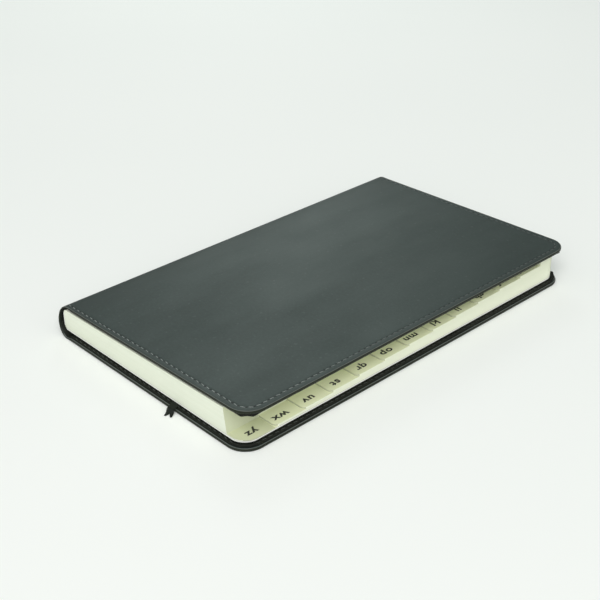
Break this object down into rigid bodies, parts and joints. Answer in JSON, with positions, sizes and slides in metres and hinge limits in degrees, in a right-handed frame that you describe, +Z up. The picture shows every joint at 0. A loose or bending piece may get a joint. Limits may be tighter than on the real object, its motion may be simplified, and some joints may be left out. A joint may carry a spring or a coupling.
{
  "type": "address book",
  "caption": "Closed pocket address book with sewn soft leatherette covers, a hollow rounded spine, stepped thumb index leaves and a ribbon marker.",
  "frame": {"origin": "middle of the back cover's resting face, half way between the spine and the fore-edge and between the tail and the head", "axes": "+X from the spine to the fore-edge, +Y from the tail to the head, +Z up through the closed book from the back cover to the front cover"},
  "size_m": [0.132, 0.2168, 0.0188],
  "materials": {
    "leatherette": "smooth satin with a faint mottled grain",
    "lining": "matt smooth",
    "board": "matt",
    "endpaper": "matt",
    "leaves": "matt with fine leaf edges",
    "backing_cloth": "matt",
    "dark_textile": "satin weave"
  },
  "bodies": {
    "book_block": {"page_block": "leaves", "spine_backing": "backing_cloth", "spine_cover": "leatherette", "spine_lining": "lining", "ribbon_marker": "dark_textile"},
    "front": {"front_cover": "leatherette", "front_board": "board", "front_lining": "lining", "front_endpaper": "endpaper"},
    "back": {"back_cover": "leatherette", "back_board": "board", "back_lining": "lining", "back_endpaper": "endpaper"}
  },
  "joints": [
    {"name": "front_cover_hinge", "type": "hinge", "parent": "book_block", "child": "front", "pos_m": [-0.0578, 0, 0.01625], "axis": [0, -1, 0], "range_deg": [0, 178.7]},
    {"name": "back_cover_hinge", "type": "hinge", "parent": "book_block", "child": "back", "pos_m": [-0.0578, 0, -0.00025], "axis": [0, 1, 0], "range_deg": [0, 179]}
  ]
}
